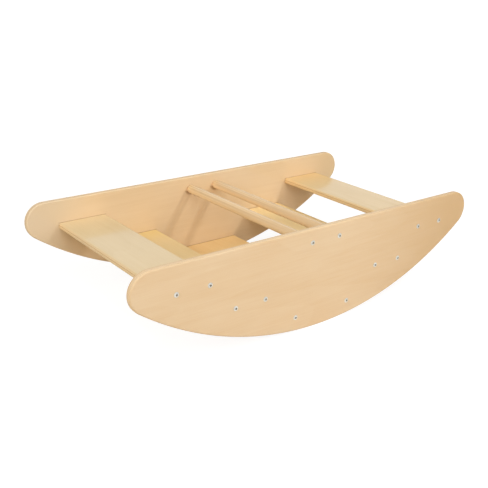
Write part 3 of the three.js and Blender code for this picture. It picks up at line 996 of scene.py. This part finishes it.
def bolt_rings(shank):
    """A domed socket head above zero and its shank below."""
    curve = (HEAD_RADIUS ** 2 + HEAD_DOME ** 2) / (2 * HEAD_DOME)

    def dome(radius):
        return HEAD_HEIGHT - curve + math.sqrt(curve ** 2 - radius ** 2)

    rings = [(0, -shank, 0), (POINT_RADIUS, -shank, 0), (SHANK_RADIUS, -shank + POINT_LENGTH, 0),
             (SHANK_RADIUS, 0, 0)]
    rings += [(radius * MM, height * MM, 0) for radius, height in HEAD_FOOT]
    rings += [(radius * MM, dome(radius * MM), 0) for radius in DOME_RADII]
    lip = dome(DOME_RADII[-1] * MM)
    rings += [(radius * MM, lip - depth * MM, 0) for radius, depth in LEAD_IN]
    rings += [(SOCKET_WIDTH / 2, lip - SOCKET_MOUTH, 6), (SOCKET_WIDTH / 2, HEAD_HEIGHT - SOCKET_DEPTH, 6)]
    return rings + [(0, HEAD_HEIGHT - SOCKET_POINT, 0)]


print("bolt profile:", len(bolt_rings(0.05)), "rings")


# %% The tree that sets hardware out
def hardware_tree():
    inputs = {"Places": "Geometry", "Part": "Object", "Most turn": "Float", "Seed": "Int",
              "Material": "Material"}
    tree, given, result = new_group(GEOMETRY, "hardware_on_places", inputs, {"Hardware": "Geometry"})
    part = add_node(tree, "GeometryNodeObjectInfo", {"Object": given["Part"]}).outputs["Geometry"]
    chance = add_node(tree, "FunctionNodeRandomValue", {
        2: 0.0, 3: given["Most turn"], "Seed": given["Seed"]}, data_type="FLOAT").outputs[1]
    spin = add_node(tree, "FunctionNodeAxisAngleToRotation", {"Axis": UPWARD, "Angle": chance}).outputs[0]
    turned = add_node(tree, "FunctionNodeRotateRotation", {
        0: along_axis(tree), 1: spin}, rotation_space="LOCAL").outputs[0]
    copies = add_node(tree, "GeometryNodeInstanceOnPoints", {
        "Points": given["Places"], "Instance": sharp_by_angle(tree, part), "Rotation": turned})
    finish_tree(tree, copies.outputs[0], given["Material"], result[0])
    return tree


HARDWARE_TREE = hardware_tree()
print("tree:", HARDWARE_TREE.name, "with", len(HARDWARE_TREE.nodes), "nodes")

# %% Set out the bolts
BOLT_SEED = 11
MOST_BOLT_TURN = math.radians(60)      # after that, a hexagon looks the same again

outer_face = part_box("side_panel_back")[1].y
bolt_sets = {}
for name in names("bolt_"):
    low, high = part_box(name)
    inner_end = min(abs(low.y), abs(high.y))
    bolt_sets.setdefault(round((outer_face - inner_end) / MM, 1), []).append(name)
for number, (shank, members) in enumerate(sorted(bolt_sets.items())):
    part = turned_object("bolt", bolt_rings(shank * MM), socket_rings=SOCKET_RINGS)
    middles = [centre_of(name) for name in members]
    sides = [math.copysign(1, middle.y) for middle in middles]
    places = [(middle.x, side * outer_face, middle.z) for middle, side in zip(middles, sides)]
    axes = [(0, side, 0) for side in sides]
    bolts = run_tree(HARDWARE_TREE, points_object("places", places, axis=axes), f"bolts_{shank:.0f}_mm",
                     part=part, most_turn=MOST_BOLT_TURN, seed=BOLT_SEED + number, material=zinc)
    bpy.data.objects.remove(part)
    place_piece(bolts, "zinc_plate", *members)

# %% Cut one barrel nut
NUT_RADIUS, NUT_CHAMFER = 5 * MM, 0.4 * MM
NUT_HOLE, NUT_HOLE_SIDES = SHANK_RADIUS + 0.4 * MM, 32
SLOT_HALF_WIDTH, SLOT_DEPTH = 0.8 * MM, 1.4 * MM


def cut_away(piece, cutter):
    """Takes the cutter's shape out of the piece for good."""
    modifier = piece.modifiers.new("cut", "BOOLEAN")
    modifier.operation, modifier.solver, modifier.object = "DIFFERENCE", "EXACT", cutter
    graph = bpy.context.evaluated_depsgraph_get()
    mesh = bpy.data.meshes.new_from_object(piece.evaluated_get(graph), depsgraph=graph)
    piece.modifiers.remove(modifier)
    piece.data = mesh
    bpy.data.objects.remove(cutter)


nut_low, nut_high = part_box(names("barrel_nut_")[0])
half = (nut_high.z - nut_low.z) / 2
face_radius, past = NUT_RADIUS - NUT_CHAMFER, 2 * NUT_RADIUS
nut = turned_object("nut", [
    (0, -half, 0), (face_radius, -half, 0), (NUT_RADIUS, NUT_CHAMFER - half, 0),
    (NUT_RADIUS, half - NUT_CHAMFER, 0), (face_radius, half, 0), (0, half, 0)])
hole = turned_object("bore", [
    (0, -past, 0), (NUT_HOLE, -past, 0), (NUT_HOLE, past, 0), (0, past, 0)], NUT_HOLE_SIDES)
hole.data.transform(Matrix.Rotation(math.pi / 2, 4, "X"))
cut_away(nut, hole)
slot = turned_object("slot", [(0, -1, 0), (1, -1, 4), (1, 1, 4), (0, 1, 0)], 4)
slot.data.transform(Matrix.Rotation(math.pi / 4, 4, "Z"))
slot.data.transform(Matrix.Diagonal((SLOT_HALF_WIDTH, past, SLOT_DEPTH, 1)))
slot.data.transform(Matrix.Translation((0, 0, -half)))
cut_away(nut, slot)
print(f"barrel nut {2 * half / MM:.1f} mm long, {len(nut.data.polygons)} faces")

# %% Set out the barrel nuts
NUT_SEED = 3

members = names("barrel_nut_")
places = points_object("places", [tuple(centre_of(name)) for name in members], axis=[UPWARD] * len(members))
nuts = run_tree(HARDWARE_TREE, places, "barrel_nuts", part=nut, most_turn=0.0, seed=NUT_SEED, material=zinc)
bpy.data.objects.remove(nut)
place_piece(nuts, "zinc_plate", *members)

# %% [markdown]
# ## What stays from the CAD model
#
# The threaded inserts sit wholly inside the handles, and their CAD shape is right. They keep their own
# objects and only get the steel material.

# %% Dress the inserts
for name in names("insert_"):
    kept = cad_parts[name]
    for holder in kept.material_slots:
        holder.material = steel
print("inserts dressed:", len(names("insert_")))

# %% [markdown]
# ## Studio: paper, lamps and surroundings
#
# The boat was photographed on white. So the paper and the surroundings look white to the camera, and the
# surroundings also in reflections, where a strength of 1 is white, while the light that they really give
# stays at a plain level. The paper keeps the boat's shadow, and it also glows with a little warm light of
# its own, painted light, so that the undersides aren't black. From below it lets the camera look through, so
# that the undersides can be seen.
#
# One small lamp, high on the right, draws the shadows of the two handles on the inside of the back panel.
# The broad ones in front and on the left fill the rest softly, and a low one behind lights the back. None
# of them shows in a reflection: the white surroundings give the lacquer its sheen, and a mirrored lamp
# would be a hard white patch.

# %% The surroundings
WHITE = (1.0, 1.0, 1.0, 1.0)
SKY_LIGHT = (0.16, 0.14, 0.095, 1.0)


def shown_rays(tree):
    """1 for camera, mirror and see-through rays, 0 for the rays that light the object, and its two parts."""
    path = add_node(tree, "ShaderNodeLightPath").outputs
    mirrored = calc(tree, "MAXIMUM", path["Is Glossy Ray"], path["Is Transmission Ray"])
    return calc(tree, "MAXIMUM", path["Is Camera Ray"], mirrored), path["Is Camera Ray"], mirrored


world = bpy.data.worlds.new("studio")
world.use_nodes = True
tree = world.node_tree
tree.nodes.clear()
shown, _, _ = shown_rays(tree)
sky = add_node(tree, "ShaderNodeBackground", {"Color": mix_colour(tree, shown, SKY_LIGHT, WHITE)})
add_node(tree, "ShaderNodeOutputWorld", {"Surface": sky.outputs[0]})
bpy.context.scene.world = world
print("surroundings:", world.name)

# %% The paper
PAPER_LIGHT = (0.60, 0.50, 0.35, 1.0)
# Painted light: the paper glows a little in this colour, to light the undersides
PAPER_LIFT = (0.095, 0.082, 0.058, 1.0)
PAPER_GLOW, MIRRORED_GLOW = 0.8, 0.0   # the share that glows by itself, for the camera and in a mirror
GLOW_FROM, GLOW_TO = 0.8, 3.5          # metres from the middle, over which the glow grows
GLOW_NEAR, GLOW_FAR = 1.12, 1.35
FLOOR_REACH = 30.0

paper, tree = new_material("studio_paper")
shown, camera_ray, mirrored = shown_rays(tree)
matt = add_node(tree, "ShaderNodeBsdfDiffuse", {"Color": PAPER_LIGHT}).outputs[0]
# The paper's own glow, painted light
lift = add_node(tree, "ShaderNodeEmission", {"Color": PAPER_LIFT, "Strength": 1.0}).outputs[0]
matt = add_node(tree, "ShaderNodeAddShader", {0: matt, 1: lift}).outputs[0]
bright = add_node(tree, "ShaderNodeBsdfDiffuse", {"Color": WHITE}).outputs[0]
spot = add_node(tree, "ShaderNodeTexCoord").outputs["Object"]
from_middle = add_node(tree, "ShaderNodeVectorMath", {0: spot}, operation="LENGTH").outputs["Value"]
strength = between(tree, from_middle, GLOW_FROM, GLOW_TO, GLOW_NEAR, GLOW_FAR)
glow = add_node(tree, "ShaderNodeEmission", {"Color": WHITE, "Strength": strength}).outputs[0]
glowing = calc(tree, "MULTIPLY_ADD", mirrored, MIRRORED_GLOW - PAPER_GLOW, PAPER_GLOW)
seen = add_node(tree, "ShaderNodeMixShader", {0: glowing, 1: bright, 2: glow}).outputs[0]
both = add_node(tree, "ShaderNodeMixShader", {0: shown, 1: matt, 2: seen}).outputs[0]
from_below = add_node(tree, "ShaderNodeNewGeometry").outputs["Backfacing"]
clear = add_node(tree, "ShaderNodeBsdfTransparent").outputs[0]
see_through = times(tree, from_below, camera_ray)
surface = add_node(tree, "ShaderNodeMixShader", {0: see_through, 1: both, 2: clear}).outputs[0]
add_node(tree, "ShaderNodeOutputMaterial", {"Surface": surface})

corners = [(x * FLOOR_REACH, y * FLOOR_REACH, 0) for x, y in ((-1, -1), (1, -1), (1, 1), (-1, 1))]
floor_mesh = bpy.data.meshes.new("studio_floor")
floor_mesh.from_pydata(corners, [], [(0, 1, 2, 3)])
floor_mesh.materials.append(paper)
floor = linked_object("studio_floor", floor_mesh)
print("paper:", paper.name)


# %% The lamps
def lamp(name, towards, distance, size, level):
    """A square lamp. level is the light that a surface facing it gets, where 1 makes white paper white."""
    light = bpy.data.lights.new(name, "AREA")
    light.shape, light.size = "SQUARE", size
    light.energy = level * (math.pi * distance) ** 2
    holder = linked_object(name, light)
    place = Vector(towards).normalized() * distance
    holder.location = place
    holder.rotation_euler = place.to_track_quat("Z", "Y").to_euler()
    holder.visible_glossy = False


lamp("lamp_right_high", (0.50, -0.55, 0.90), 3.4, 0.35, 0.215)
lamp("lamp_left_high", (-0.52, -0.60, 0.90), 4.5, 3.6, 0.375)
lamp("lamp_left_side", (-0.95, -0.15, 0.60), 3.8, 2.2, 0.31)
lamp("lamp_front", (-0.10, -0.90, 0.55), 4.0, 2.6, 0.215)
lamp("lamp_front_right", (0.45, -0.85, 0.40), 3.4, 1.8, 0.15)
lamp("lamp_behind", (0.15, 0.90, 0.14), 3.6, 0.8, 0.4)
print("lamps:", len(bpy.data.lights))

# %% [markdown]
# ## The camera
#
# The camera stands where the photographer's stood. Its place, direction and angle of view were found by
# fitting the CAD outline to the picture. It is held as three directions, right, up and forward, because
# that keeps the slight roll of the picture.

# %% Place the camera
CAMERA_PLACE = Vector((-1.32101, -1.62832, 0.95260))
YAW, PITCH, ROLL = 0.665, -0.370, 0.0277
FOCAL_IN_WIDTHS = 743.01 / 488         # the fitted focal length and the picture's width, both in pixels
SENSOR = 36.0

forward = Vector((math.sin(YAW) * math.cos(PITCH), math.cos(YAW) * math.cos(PITCH), math.sin(PITCH)))
level_right = Vector((math.cos(YAW), -math.sin(YAW), 0))
level_up = level_right.cross(forward)
right = math.cos(ROLL) * level_right + math.sin(ROLL) * level_up
up = math.cos(ROLL) * level_up - math.sin(ROLL) * level_right
lens = bpy.data.cameras.new("photo_camera")
lens.sensor_width, lens.lens = SENSOR, SENSOR * FOCAL_IN_WIDTHS
camera = linked_object("photo_camera", lens)
turn = Matrix((right, up, -forward)).transposed().to_4x4()
camera.matrix_world = Matrix.Translation(CAMERA_PLACE) @ turn
bpy.context.scene.camera = camera
bpy.context.scene.view_settings.view_transform = "Standard"
print(f"camera {lens.lens:.1f} mm at {tuple(round(c, 3) for c in CAMERA_PLACE)}")

# %% [markdown]
# ## The end
#
# The dressed model has to fill the same box as the CAD model. Last, the scene is brought up to date.

# %% Finish
bpy.context.view_layer.update()
